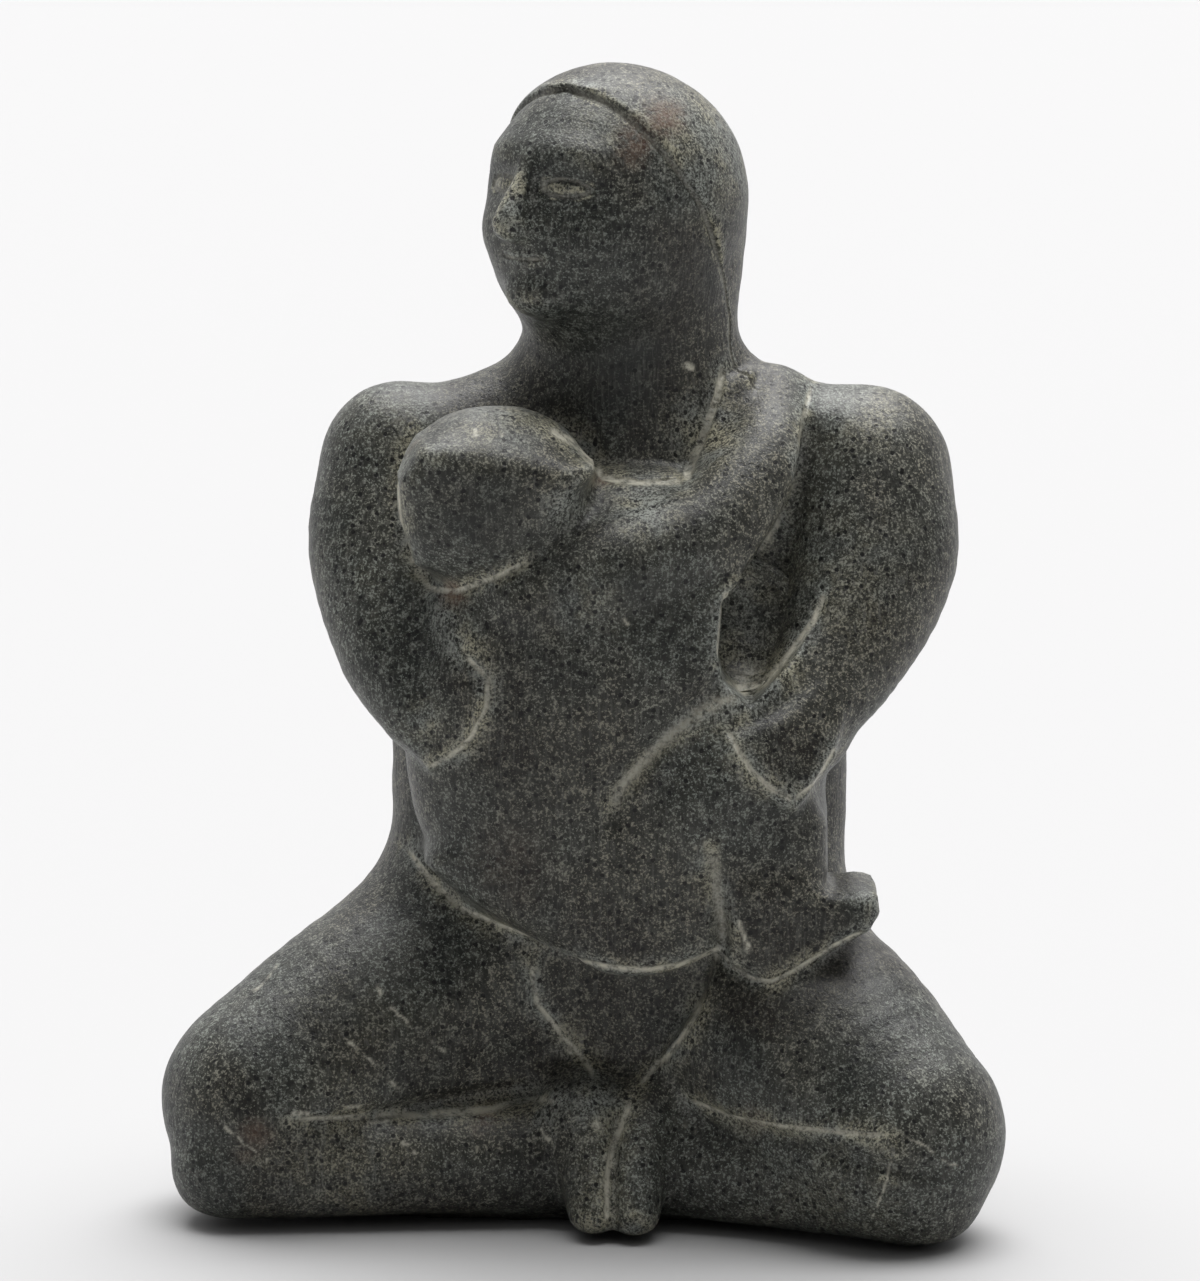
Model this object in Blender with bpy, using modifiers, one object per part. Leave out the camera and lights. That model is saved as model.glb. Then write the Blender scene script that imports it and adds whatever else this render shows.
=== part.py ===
"""A seated mother holding a child, carved as one piece from a block of dark stone.

Run with: blender --background --python part.py
"""

import math

import bmesh
import bpy
import numpy as np
from mathutils import Euler, Matrix, Vector

# The stone's sizes in metres. The pose below is written in thousandths of the height and then fitted to them.
HEIGHT = 0.36  # floor to the crown of the head
WIDTH = 0.264  # from knee to knee
DEPTH = 0.15  # from the back to the front of the left knee

ROUGH_VOXEL = 12.0
FINE_VOXEL = 7.0
TRIANGLES = 9000
ROUGH_PULLS = 4
FINE_PULLS = 4
STONE = (0.072, 0.076, 0.068, 1.0)
STONE_ROUGHNESS = 0.55


def smooth_step(low, high, x):
    t = np.clip((x - low) / (high - low), 0, 1)
    return t * t * (3 - 2 * t)


def join(a, b, width):
    """The union of two fields, with a fillet of about the given width."""
    if width <= 0:
        return np.minimum(a, b)
    h = np.maximum(width - np.abs(a - b), 0) / width
    return np.minimum(a, b) - h * h * width / 4


def cut(a, b, width):
    """What is left of a once b is carved away, with an edge rounded by width."""
    return -join(-a, b, width)


def path_distance(p, path):
    """Distance in the plane from points p to a line of corners, and how far along that line, from 0 to 1."""
    found, share = np.full(len(p), np.inf), np.zeros(len(p))
    steps = np.linalg.norm(np.diff(path, axis=0), axis=1)
    so_far, total = 0.0, steps.sum()
    for a, b, length in zip(path, path[1:], steps):
        t = np.clip((p - a) @ (b - a) / length**2, 0, 1)
        off = np.linalg.norm(p - a - t[:, None] * (b - a), axis=1)
        nearer = off < found
        found[nearer] = off[nearer]
        share[nearer] = (so_far + t[nearer] * length) / total
        so_far += length
    return found, share


def inside_distance(p, corners):
    """Signed distance in the plane from points p to a closed outline of corners, negative inside."""
    off = path_distance(p, np.vstack([corners, corners[:1]]))[0]
    within = np.zeros(len(p), bool)
    for a, b in zip(corners, np.roll(corners, -1, axis=0)):
        if a[1] == b[1]:
            continue
        crossing = a[0] + (p[:, 1] - a[1]) * (b[0] - a[0]) / (b[1] - a[1])
        within ^= ((a[1] > p[:, 1]) != (b[1] > p[:, 1])) & (p[:, 0] < crossing)
    return np.where(within, -off, off)


class Ball:
    """An ellipsoid: centre, half sizes, turn in degrees about X, Y and Z, and how boxy it is (2 is round)."""

    def __init__(self, centre, half, turn=(0, 0, 0), boxy=2.0):
        self.centre = np.array(centre, float)
        self.half = np.array(half, float)
        self.boxy = boxy
        self.spin = np.array(Euler([math.radians(a) for a in turn]).to_matrix())
        reach = np.abs(self.spin) @ self.half
        self.low, self.high = self.centre - reach, self.centre + reach

    def distance(self, p):
        q = np.abs((p - self.centre) @ self.spin) / self.half + 1e-6
        near = (q**self.boxy).sum(1) ** (1 / self.boxy)
        steep = np.linalg.norm((q / near[:, None]) ** (self.boxy - 1) / self.half, axis=1)
        return (near - 1) / steep

    def balls(self):
        scale = Matrix.Diagonal(Vector(self.half)).to_4x4()
        yield Matrix.Translation(self.centre) @ Matrix(self.spin).to_4x4() @ scale


class Limb:
    """A bent, tapering limb through rows of x, y, z and radius; flat is its depth as a share of its width."""

    STEPS = 6

    def __init__(self, *rows, flat=1.0):
        self.flat = flat
        rows = np.array(rows, float)
        rows = np.vstack([2 * rows[0] - rows[1], rows, 2 * rows[-1] - rows[-2]])
        path = []
        for a, b, c, d in zip(rows, rows[1:], rows[2:], rows[3:]):
            for t in np.arange(self.STEPS) / self.STEPS:
                bend = (2 * a - 5 * b + 4 * c - d) * t**2 + (3 * b - a - 3 * c + d) * t**3
                path.append(0.5 * (2 * b + (c - a) * t + bend))
        self.path = np.array(path + [rows[-2]])
        self.low = (self.path[:, :3] - self.path[:, 3:]).min(0)
        self.high = (self.path[:, :3] + self.path[:, 3:]).max(0)

    def distance(self, p):
        squeeze = np.array([1, 1 / self.flat, 1])
        q = p * squeeze
        found = np.full(len(p), np.inf)
        for a, b in zip(self.path, self.path[1:]):
            start, along = a[:3] * squeeze, (b - a)[:3] * squeeze
            t = np.clip((q - start) @ along / max(along @ along, 1e-9), 0, 1)
            off = q - start - t[:, None] * along
            found = np.minimum(found, np.sqrt((off * off).sum(1)) - (a[3] + (b[3] - a[3]) * t))
        return found * (1 + self.flat) / 2

    def balls(self):
        for x, y, z, r in self.path:
            yield Matrix.Translation((x, y, z)) @ Matrix.Diagonal((r, r * self.flat, r, 1))


class Slab:
    """A flat-faced block: an outline of x, z corners seen from the front and a face at depth y.

    lean is how much y grows along x and along z, soft is how round its front edge is, and bulge is how far
    its face swells at its middle.
    """

    def __init__(self, corners, face, lean=(0, 0), depth=80, soft=8, bulge=0):
        self.corners = np.array(corners, float)
        self.middle = self.corners.mean(0)
        self.face, self.lean, self.depth, self.soft, self.bulge = face, lean, depth, soft, bulge
        self.size = np.abs(self.corners - self.middle).max()
        low, high = self.corners.min(0), self.corners.max(0)
        tilt = abs(lean[0]) * (high - low)[0] + abs(lean[1]) * (high - low)[1] + bulge
        back = face + depth
        self.low = np.array([low[0], min(face, back) - tilt, low[1]])
        self.high = np.array([high[0], max(face, back) + tilt, high[1]])

    def distance(self, p):
        flat = p[:, [0, 2]]
        away = flat - self.middle
        front = self.face + away @ np.array(self.lean) - p[:, 1]
        front = front - self.bulge * np.clip(1 - (away**2).sum(1) / self.size**2, 0, 1)
        front /= math.sqrt(1 + self.lean[0] ** 2 + self.lean[1] ** 2)
        sides = inside_distance(flat, self.corners)
        if self.depth < 0:  # a cut, open to the front
            return -join(-sides, front, self.soft)
        return np.maximum(-join(-sides, -front, self.soft), -front - self.depth)

    def balls(self):
        for corner in self.corners:
            x, z = corner + 0.4 * (self.middle - corner)
            y = self.face + (np.array([x, z]) - self.middle) @ np.array(self.lean) + self.depth / 2
            r = 0.3 * self.size
            yield Matrix.Translation((x, y, z)) @ Matrix.Diagonal((r, self.depth / 2, r, 1))


class Turned:
    """A mass given in a frame of its own, turned and then moved."""

    def __init__(self, mass, centre, turn):
        self.mass = mass
        self.centre = np.array(centre, float)
        self.spin = np.array(Euler([math.radians(a) for a in turn]).to_matrix())
        corners = np.array(np.meshgrid(*zip(mass.low, mass.high))).reshape(3, -1).T
        corners = corners @ self.spin.T + self.centre
        self.low, self.high = corners.min(0), corners.max(0)

    def distance(self, p):
        return self.mass.distance((p - self.centre) @ self.spin)

    def balls(self):
        for matrix in self.mass.balls():
            yield Matrix.Translation(self.centre) @ Matrix(self.spin).to_4x4() @ matrix


class Hair:
    """A cap that follows the skull, raised by its thickness, behind a hairline in the head's side view."""

    SOFT = 6

    def __init__(self, skull, raised, hairline, parting):
        self.skull, self.raised = skull, raised
        self.line = np.array(hairline, float)
        self.parting = parting
        self.low, self.high = skull.low - raised, skull.high + raised

    def distance(self, p):
        notch = self.parting * np.clip(1 - np.abs(p[:, 0]) / (2 * self.parting), 0, 1)
        edge = np.interp(p[:, 2], self.line[:, 1], self.line[:, 0])
        slant = np.interp(p[:, 2], self.line[:, 1], np.gradient(self.line[:, 0], self.line[:, 1]))
        before = (edge + notch - p[:, 1]) / np.sqrt(1 + slant**2)
        return -join(self.raised - self.skull.distance(p), -before, self.SOFT)

    def balls(self):
        return iter(())


HEAD_AT = (28, 5, 884)
HEAD_TURN = (-10, 0, -42)
SKULL = Ball((0, 0, 0), (104, 118, 112))
FOOT_DEPTH = 1.3  # of its width

# Outlines seen from the front, as x, z corners.
LAP_HOLLOW = [
    (-58, 285), (-39, 205), (-14, 176), (14, 140), (36, 126),
    (64, 144), (84, 176), (103, 205), (128, 285),
]
COLLAR = [
    (14, 651), (89, 648), (106, 685), (120, 730), (150, 740),
    (130, 660), (104, 625), (60, 600), (-10, 610),
]
HEM = [
    (-140, 322), (-104, 292), (-52, 264), (-14, 246), (18, 231), (47, 227),
    (82, 234), (122, 251), (128, 330), (60, 410), (-60, 410), (-104, 360),
]
CHILD_LEG = [
    (126, 246), (119, 298), (112, 350), (135, 400), (190, 400),
    (211, 360), (212, 316), (200, 290), (190, 250), (163, 232),
]
CHILD_FOOT = [
    (128, 243), (163, 227), (217, 253), (247, 269), (256, 284),
    (254, 301), (236, 305), (210, 303), (188, 314), (136, 312),
]
SHOULDER_BAY = [
    (206, 750), (187, 673), (170, 608), (122, 551), (150, 520),
    (200, 560), (224, 620), (232, 680), (228, 750),
]
CROOK = [
    (121, 553), (116, 506), (128, 481), (143, 466), (178, 500),
    (201, 532), (211, 560), (212, 600), (186, 650),
]
CHILD_FACE = [
    (-139, 690), (-156, 661), (-153, 622), (-143, 582), (-108, 566), (-73, 577), (-36, 605),
    (-10, 635), (6, 659), (13, 672), (-30, 682), (-69, 688), (-118, 694),
]
RIGHT_HAND = [
    (-104, 500), (-79, 484), (-83, 459), (-97, 430),
    (-132, 404), (-166, 440), (-180, 480), (-150, 512),
]
LEFT_HAND = [
    (124, 441), (128, 420), (146, 399), (181, 377),
    (216, 420), (226, 462), (206, 486), (167, 458),
]
# The hairline in the head's side view, as y, z corners.
HAIRLINE = [
    (84, -150), (75, -90), (50, -56), (23, -31), (-7, 2), (-23, 17),
    (-41, 38), (-57, 56), (-68, 72), (-80, 86), (-110, 94), (-140, 120),
]
# Limbs, as rows of x, y, z and radius.
TRUNK = [(32, 45, 180, 190), (32, 40, 300, 200), (33, 38, 420, 200), (36, 38, 520, 186), (40, 38, 600, 170)]
SHOULDERS = [
    (-161, 25, 648, 66), (-80, 30, 660, 66), (40, 35, 676, 70), (140, 30, 664, 70), (246, 20, 636, 75),
]
CHILD_THIGH = [(185, -82, 440, 50), (128, -116, 410, 58), (82, -124, 352, 54), (72, -116, 296, 46)]
CHILD_ARM = [
    (164, 10, 697, 42), (152, -55, 658, 44), (108, -100, 608, 48), (30, -122, 580, 50), (-40, -120, 556, 46),
]
RIGHT_ARM = [(-160, 25, 655, 67), (-166, 0, 580, 74), (-148, -45, 505, 66), (-132, -85, 458, 46)]
LEFT_ARM = [(246, 20, 645, 75), (250, -10, 575, 77), (223, -60, 500, 59), (192, -96, 455, 44)]


def in_head(*rows):
    return [(name, Turned(mass, HEAD_AT, HEAD_TURN), width) for name, mass, width in rows]


LEGS = [
    ("base", Ball((0, -10, 10), (240, 106, 118), boxy=3.0), 0),
    ("seat", Ball((10, 58, 140), (188, 114, 172)), 40),
    ("right_thigh", Limb((-78, 22, 200, 116), (-176, -12, 152, 112), (-272, -62, 98, 98)), 36),
    ("left_thigh", Limb((98, 2, 196, 118), (188, -70, 150, 118), (268, -145, 90, 98)), 36),
    ("right_shin", Limb((-300, -95, 52, 60), (-150, -92, 52, 54), (-20, -85, 52, 52)), 8),
    ("left_shin", Limb((284, -165, 48, 62), (160, -118, 50, 56), (60, -88, 52, 52)), 8),
]
LAP = [
    ("lap", Slab(LAP_HOLLOW, -105, lean=(0, -0.12), depth=-200, soft=18), 8),
]
FEET = [
    ("ankles", Limb((-14, -100, 94, 24), (32, -108, 98, 26), (78, -100, 94, 24)), 28),
    ("right_foot", Limb((0, -95, 100, 34), (6, -125, 72, 27), (9, -156, 20, 22), flat=FOOT_DEPTH), 18),
    ("left_foot", Limb((62, -95, 100, 34), (50, -128, 72, 27), (45, -160, 20, 22), flat=FOOT_DEPTH), 12),
]
MOTHER = [
    ("trunk", Limb(*TRUNK, flat=0.63), 60),
    ("shoulders", Limb(*SHOULDERS), 32),
    ("neck", Limb((42, 30, 690, 92), (42, 25, 800, 92)), 30),
]
HEAD = in_head(
    ("jaw", Ball((0, -4, -62), (84, 96, 66)), 25),
    ("skull", SKULL, 30),
    ("back_hair", Limb((0, 70, -20, 72), (0, 66, -80, 66), (0, 66, -150, 60), flat=0.8), 24),
    ("brow", Ball((0, -94, 25), (52, 20, 13)), 22),
    ("cheeks", Ball((0, -78, -38), (66, 32, 34)), 20),
    ("nose", Limb((0, -112, 20, 8), (0, -125, -14, 12), (0, -129, -34, 16)), 7),
    ("nostrils", Limb((-15, -112, -38, 9), (0, -118, -38, 11), (15, -112, -38, 9)), 6),
    ("chin", Ball((0, -86, -92), (30, 22, 18)), 16),
    ("hair", Hair(SKULL, 6, HAIRLINE, 8), 3),
)
BUNDLE = [
    ("collar", Slab(COLLAR, -80, lean=(0.02, 0.7), depth=50, soft=8), 6),
    ("child_trunk", Ball((30, -52, 448), (186, 120, 216), boxy=2.4), 8),
    ("child_hem", Slab(HEM, -139, lean=(-0.17, -0.04), depth=80, soft=26, bulge=30), 9),
    ("child_thigh", Limb(*CHILD_THIGH), 9),
    ("child_arm", Limb(*CHILD_ARM), 10),
    ("child_leg", Slab(CHILD_LEG, -162, lean=(0.18, 0.02), depth=110, soft=34), 16),
    ("child_foot", Slab(CHILD_FOOT, -161, lean=(0.1, 0), depth=96, soft=16), 14),
]
BAY = [
    ("shoulder_bay", Slab(SHOULDER_BAY, -38, lean=(0.1, 0.1), depth=-200), 6),
    ("crook", Slab(CROOK, -40, lean=(0.1, -0.1), depth=-200), 6),
]
FRONT = [
    ("child_skull", Ball((-74, -96, 642), (82, 72, 74), boxy=2.2), 14),
    ("child_face", Slab(CHILD_FACE, -162, lean=(-0.04, -0.3), depth=70, soft=34), 14),
    ("right_arm", Limb(*RIGHT_ARM), 10),
    ("left_arm", Limb(*LEFT_ARM), 10),
    ("right_hand", Slab(RIGHT_HAND, -135, lean=(-0.7, 0.09), depth=70, soft=10, bulge=4), 7),
    ("left_hand", Slab(LEFT_HAND, -158, lean=(0.34, 0.28), depth=70, soft=10, bulge=4), 7),
]
STAGES = [
    (LEGS, join),
    (LAP, cut),
    (FEET, join),
    (MOTHER, join),
    (HEAD, join),
    (BUNDLE, join),
    (BAY, cut),
    (FRONT, join),
]
SOLIDS = LEGS + FEET + MOTHER + HEAD + BUNDLE + FRONT
# Lines cut in the front, and below them in the back: their x, z corners, half their width and their depth.
FRONT_LINES = [
    ([(-260, 98), (-143, 104), (-78, 110), (-22, 118)], 12, 6),
    ([(88, 118), (125, 106), (200, 95), (235, 90), (325, 74)], 12, 6),
    ([(128, 500), (89, 462), (54, 424), (30, 394), (22, 350)], 17, 8),
    ([(30, 112), (29, 92), (27, 60), (27, 10)], 7, 4),
    ([(100, 372), (108, 330), (116, 286), (121, 250)], 15, 3),
]
BACK_LINES = [
    ([(40, 700), (36, 560), (33, 420), (32, 260), (32, 150)], 34, 8),
    ([(-180, 236), (-110, 176), (-40, 130), (20, 112)], 22, 5),
    ([(230, 236), (170, 176), (104, 130), (46, 112)], 22, 5),
]
# The front lines are cut where y is below the first value, the back lines where it is above the second.
FRONT_SIDE = -20
BACK_SIDE = 50
LINE_ENDS = 0.15  # the share of a line over which it fades out at each end
FLOOR_EDGE = 26
UNDERSIDE = 1.5
REACH = 12


def field(p):
    """Signed distance from points p, in thousandths of the height, to the surface of the stone."""
    found = np.full(len(p), 1e3)
    for masses, how in STAGES:
        for name, mass, width in masses:
            near = ((p > mass.low - width - REACH) & (p < mass.high + width + REACH)).all(1)
            found[near] = how(found[near], mass.distance(p[near]), width)
    for side, lines in ((p[:, 1] < FRONT_SIDE, FRONT_LINES), (p[:, 1] > BACK_SIDE, BACK_LINES)):
        side = np.flatnonzero(side)
        flat = p[side][:, [0, 2]]
        for line, half, deep in lines:
            line = np.array(line, float)
            near = ((flat > line.min(0) - half) & (flat < line.max(0) + half)).all(1)
            off, share = path_distance(flat[near], line)
            fade = smooth_step(0, LINE_ENDS, share) * smooth_step(0, LINE_ENDS, 1 - share)
            found[side[near]] += deep * fade * (1 - smooth_step(0, half, off))
    return cut(found, p[:, 2], FLOOR_EDGE)


def fused(points, faces, voxel):
    """The skin of overlapping shapes, as the corners and quads of a voxel remesh."""
    mesh = bpy.data.meshes.new("rough")
    mesh.from_pydata(points, [], faces)
    block = bpy.data.objects.new("rough", mesh)
    bpy.context.scene.collection.objects.link(block)
    remesh = block.modifiers.new("fuse", "REMESH")
    remesh.mode = "VOXEL"
    remesh.voxel_size = voxel
    skin = bpy.data.meshes.new_from_object(block.evaluated_get(bpy.context.evaluated_depsgraph_get()))
    bpy.data.objects.remove(block)
    points = np.empty(len(skin.vertices) * 3, np.float32)
    skin.vertices.foreach_get("co", points)
    quads = np.empty(len(skin.loops), np.int32)
    skin.loops.foreach_get("vertex_index", quads)
    bpy.data.meshes.remove(skin)
    return points.reshape(-1, 3).astype(float), quads.reshape(-1, 4)


def rough_block():
    """One round ball per mass, or per bead of a limb."""
    bm = bmesh.new()
    bmesh.ops.create_uvsphere(bm, u_segments=20, v_segments=12, radius=1)
    ball = np.array([v.co for v in bm.verts])
    ball_faces = [[v.index for v in f.verts] for f in bm.faces]
    bm.free()
    points, faces = [], []
    for name, mass, width in SOLIDS:
        for matrix in mass.balls():
            turn = np.array(matrix)
            faces += [[i + len(points) * len(ball) for i in f] for f in ball_faces]
            points.append(ball @ turn[:3, :3].T + turn[:3, 3])
    return np.vstack(points), faces


def pull(points, quads, rounds):
    """Moves the corners of a skin onto the surface, and evens out their spacing along it."""
    ends = np.vstack([quads, np.roll(quads, -1, axis=1)]).reshape(2, -1).T
    edges = ends[ends[:, 0] < ends[:, 1]]
    degree = np.bincount(edges.ravel(), minlength=len(points))[:, None]
    corners = np.array([(1, -1, -1), (-1, -1, 1), (-1, 1, -1), (1, 1, 1)])
    step = 0.5
    for k in range(rounds):
        values = [field(points + step * c) for c in corners]
        slope = sum(v[:, None] * c for v, c in zip(values, corners)) / (4 * step)
        off = sum(values) / 4
        size = np.maximum((slope**2).sum(1), 0.05)
        normal = slope / np.sqrt(size)[:, None]
        move = -(off / size)[:, None] * slope
        length = np.linalg.norm(move, axis=1)
        points = points + move * (np.minimum(length, 12) / np.maximum(length, 1e-9))[:, None]
        total = np.zeros_like(points)
        for axis in range(3):
            total[:, axis] += np.bincount(edges[:, 0], points[edges[:, 1], axis], len(points))
            total[:, axis] += np.bincount(edges[:, 1], points[edges[:, 0], axis], len(points))
        drift = total / degree - points
        if k < rounds - 1:
            drift -= (drift * normal).sum(1)[:, None] * normal
        points = points + 0.5 * drift
    return points


def carve():
    points, quads = fused(*rough_block(), ROUGH_VOXEL)
    points = pull(points, quads, ROUGH_PULLS)
    points, quads = fused(points, quads.tolist(), FINE_VOXEL)
    return pull(points, quads, FINE_PULLS), quads


def thinned(points, quads, most):
    """The skin with flat places simplified, down to a number of triangles."""
    mesh = bpy.data.meshes.new("skin")
    mesh.from_pydata(points, [], quads.tolist())
    skin = bpy.data.objects.new("skin", mesh)
    bpy.context.scene.collection.objects.link(skin)
    fewer = skin.modifiers.new("thin", "DECIMATE")
    fewer.ratio = most / (2 * len(quads))
    fewer.use_collapse_triangulate = True
    thin = bpy.data.meshes.new_from_object(skin.evaluated_get(bpy.context.evaluated_depsgraph_get()))
    bpy.data.objects.remove(skin)
    return thin


def stone():
    found = bpy.data.materials.new("dark_stone")
    found.use_nodes = True
    found.diffuse_color = STONE
    shader = found.node_tree.nodes["Principled BSDF"]
    shader.inputs["Base Color"].default_value = STONE
    shader.inputs["Roughness"].default_value = STONE_ROUGHNESS
    return found


def settle(mesh):
    """Sets the mesh on the floor at its real size, underside at zero and box centred over the origin."""
    points = np.empty(len(mesh.vertices) * 3, np.float32)
    mesh.vertices.foreach_get("co", points)
    points = points.reshape(-1, 3).astype(float)
    points[points[:, 2] < UNDERSIDE, 2] = 0
    low, high = points.min(0), points.max(0)
    points -= (*((low + high) / 2)[:2], 0)
    points *= np.array([WIDTH, DEPTH, HEIGHT]) / (high - low)
    mesh.vertices.foreach_set("co", points.astype(np.float32).ravel())
    mesh.update()


def main():
    for obj in list(bpy.data.objects):
        bpy.data.objects.remove(obj)
    mesh = thinned(*carve(), TRIANGLES)
    settle(mesh)
    mesh.name = "mother_and_child_stone"
    mesh.materials.append(stone())
    bpy.context.scene.collection.objects.link(bpy.data.objects.new("mother_and_child_stone", mesh))


if __name__ == "__main__":
    main()
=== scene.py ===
"""A seated mother and child carved in dark stone: the finished surface, its stone and its studio."""

import math

import bmesh
import bpy
import numpy as np
from mathutils import Euler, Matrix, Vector


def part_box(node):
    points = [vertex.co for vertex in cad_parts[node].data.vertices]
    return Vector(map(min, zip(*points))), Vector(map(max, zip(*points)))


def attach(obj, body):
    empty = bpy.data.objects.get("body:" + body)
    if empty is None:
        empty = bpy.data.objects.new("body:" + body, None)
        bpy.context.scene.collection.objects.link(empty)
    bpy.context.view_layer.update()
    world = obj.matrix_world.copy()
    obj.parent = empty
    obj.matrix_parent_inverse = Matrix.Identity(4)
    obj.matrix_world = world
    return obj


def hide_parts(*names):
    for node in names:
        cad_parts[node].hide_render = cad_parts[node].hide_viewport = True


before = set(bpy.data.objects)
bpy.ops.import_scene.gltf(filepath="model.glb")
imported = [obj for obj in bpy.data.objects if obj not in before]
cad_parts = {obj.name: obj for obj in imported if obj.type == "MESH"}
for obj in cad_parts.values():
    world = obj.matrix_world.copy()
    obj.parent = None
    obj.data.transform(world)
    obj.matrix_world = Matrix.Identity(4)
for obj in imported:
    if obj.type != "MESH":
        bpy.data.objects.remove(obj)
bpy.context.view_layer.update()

NODE = "mother_and_child_stone"
COARSE_VOXEL = 12.0
FINE_VOXEL = 6.0


def smooth_step(low, high, x):
    t = np.clip((x - low) / (high - low), 0, 1)
    return t * t * (3 - 2 * t)


def join(a, b, width):
    """The union of two fields, with a fillet of about the given width."""
    if width <= 0:
        return np.minimum(a, b)
    h = np.maximum(width - np.abs(a - b), 0) / width
    return np.minimum(a, b) - h * h * width / 4


def cut(a, b, width):
    """What is left of a once b is carved away, with an edge rounded by width."""
    return -join(-a, b, width)


def path_distance(p, path):
    """Distance from points p to a line of corners, and how far along that line, from 0 to 1."""
    found, share = np.full(len(p), np.inf), np.zeros(len(p))
    steps = np.linalg.norm(np.diff(path, axis=0), axis=1)
    so_far, total = 0.0, steps.sum()
    for a, b, length in zip(path, path[1:], steps):
        t = np.clip((p - a) @ (b - a) / length**2, 0, 1)
        off = np.linalg.norm(p - a - t[:, None] * (b - a), axis=1)
        nearer = off < found
        found[nearer] = off[nearer]
        share[nearer] = (so_far + t[nearer] * length) / total
        so_far += length
    return found, share


def inside_distance(p, corners):
    """Signed distance in the plane from points p to a closed outline of corners, negative inside."""
    off = path_distance(p, np.vstack([corners, corners[:1]]))[0]
    within = np.zeros(len(p), bool)
    for a, b in zip(corners, np.roll(corners, -1, axis=0)):
        if a[1] == b[1]:
            continue
        crossing = a[0] + (p[:, 1] - a[1]) * (b[0] - a[0]) / (b[1] - a[1])
        within ^= ((a[1] > p[:, 1]) != (b[1] > p[:, 1])) & (p[:, 0] < crossing)
    return np.where(within, -off, off)


class Ball:
    """An ellipsoid: centre, half sizes, turn in degrees and how boxy it is (2 is round)."""

    def __init__(self, centre, half, turn=(0, 0, 0), boxy=2.0):
        self.centre = np.array(centre, float)
        self.half = np.array(half, float)
        self.boxy = boxy
        self.spin = np.array(Euler([math.radians(a) for a in turn]).to_matrix())
        reach = np.abs(self.spin) @ self.half
        self.low, self.high = self.centre - reach, self.centre + reach

    def distance(self, p):
        q = np.abs((p - self.centre) @ self.spin) / self.half + 1e-6
        near = (q**self.boxy).sum(1) ** (1 / self.boxy)
        steep = np.linalg.norm((q / near[:, None]) ** (self.boxy - 1) / self.half, axis=1)
        return (near - 1) / steep


class Limb:
    """A bent limb through rows of x, y, z and radius; flat is its depth as a share of its width."""

    STEPS = 6

    def __init__(self, *rows, flat=1.0):
        self.flat = flat
        rows = np.array(rows, float)
        rows = np.vstack([2 * rows[0] - rows[1], rows, 2 * rows[-1] - rows[-2]])
        path = []
        for a, b, c, d in zip(rows, rows[1:], rows[2:], rows[3:]):
            for t in np.arange(self.STEPS) / self.STEPS:
                bend = (2 * a - 5 * b + 4 * c - d) * t**2 + (3 * b - a - 3 * c + d) * t**3
                path.append(0.5 * (2 * b + (c - a) * t + bend))
        self.path = np.array(path + [rows[-2]])
        self.low = (self.path[:, :3] - self.path[:, 3:]).min(0)
        self.high = (self.path[:, :3] + self.path[:, 3:]).max(0)

    def distance(self, p):
        squeeze = np.array([1, 1 / self.flat, 1])
        q = p * squeeze
        found = np.full(len(p), np.inf)
        for a, b in zip(self.path, self.path[1:]):
            start, along = a[:3] * squeeze, (b - a)[:3] * squeeze
            t = np.clip((q - start) @ along / max(along @ along, 1e-9), 0, 1)
            off = q - start - t[:, None] * along
            found = np.minimum(found, np.sqrt((off * off).sum(1)) - (a[3] + (b[3] - a[3]) * t))
        return found * (1 + self.flat) / 2


class Slab:
    """A flat-faced block: an outline of x, z corners seen from the front and a face at depth y.

    lean is how much y grows along x and along z, soft is how round its front edge is, and bulge is how far
    its face swells at its middle.
    """

    def __init__(self, corners, face, lean=(0, 0), depth=80, soft=8, bulge=0):
        self.corners = np.array(corners, float)
        self.middle = self.corners.mean(0)
        self.face, self.lean, self.depth, self.soft, self.bulge = face, lean, depth, soft, bulge
        self.size = np.abs(self.corners - self.middle).max()
        low, high = self.corners.min(0), self.corners.max(0)
        tilt = abs(lean[0]) * (high - low)[0] + abs(lean[1]) * (high - low)[1] + bulge
        back = face + depth
        self.low = np.array([low[0], min(face, back) - tilt, low[1]])
        self.high = np.array([high[0], max(face, back) + tilt, high[1]])

    def distance(self, p):
        flat = p[:, [0, 2]]
        away = flat - self.middle
        front = self.face + away @ np.array(self.lean) - p[:, 1]
        front = front - self.bulge * np.clip(1 - (away**2).sum(1) / self.size**2, 0, 1)
        front /= math.sqrt(1 + self.lean[0] ** 2 + self.lean[1] ** 2)
        sides = inside_distance(flat, self.corners)
        if self.depth < 0:  # a cut, open to the front
            return -join(-sides, front, self.soft)
        return np.maximum(-join(-sides, -front, self.soft), -front - self.depth)


class Turned:
    """A mass given in a frame of its own, turned and then moved."""

    def __init__(self, mass, centre, turn):
        self.mass = mass
        self.centre = np.array(centre, float)
        self.spin = np.array(Euler([math.radians(a) for a in turn]).to_matrix())
        corners = np.array(np.meshgrid(*zip(mass.low, mass.high))).reshape(3, -1).T
        corners = corners @ self.spin.T + self.centre
        self.low, self.high = corners.min(0), corners.max(0)

    def distance(self, p):
        return self.mass.distance((p - self.centre) @ self.spin)


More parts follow.
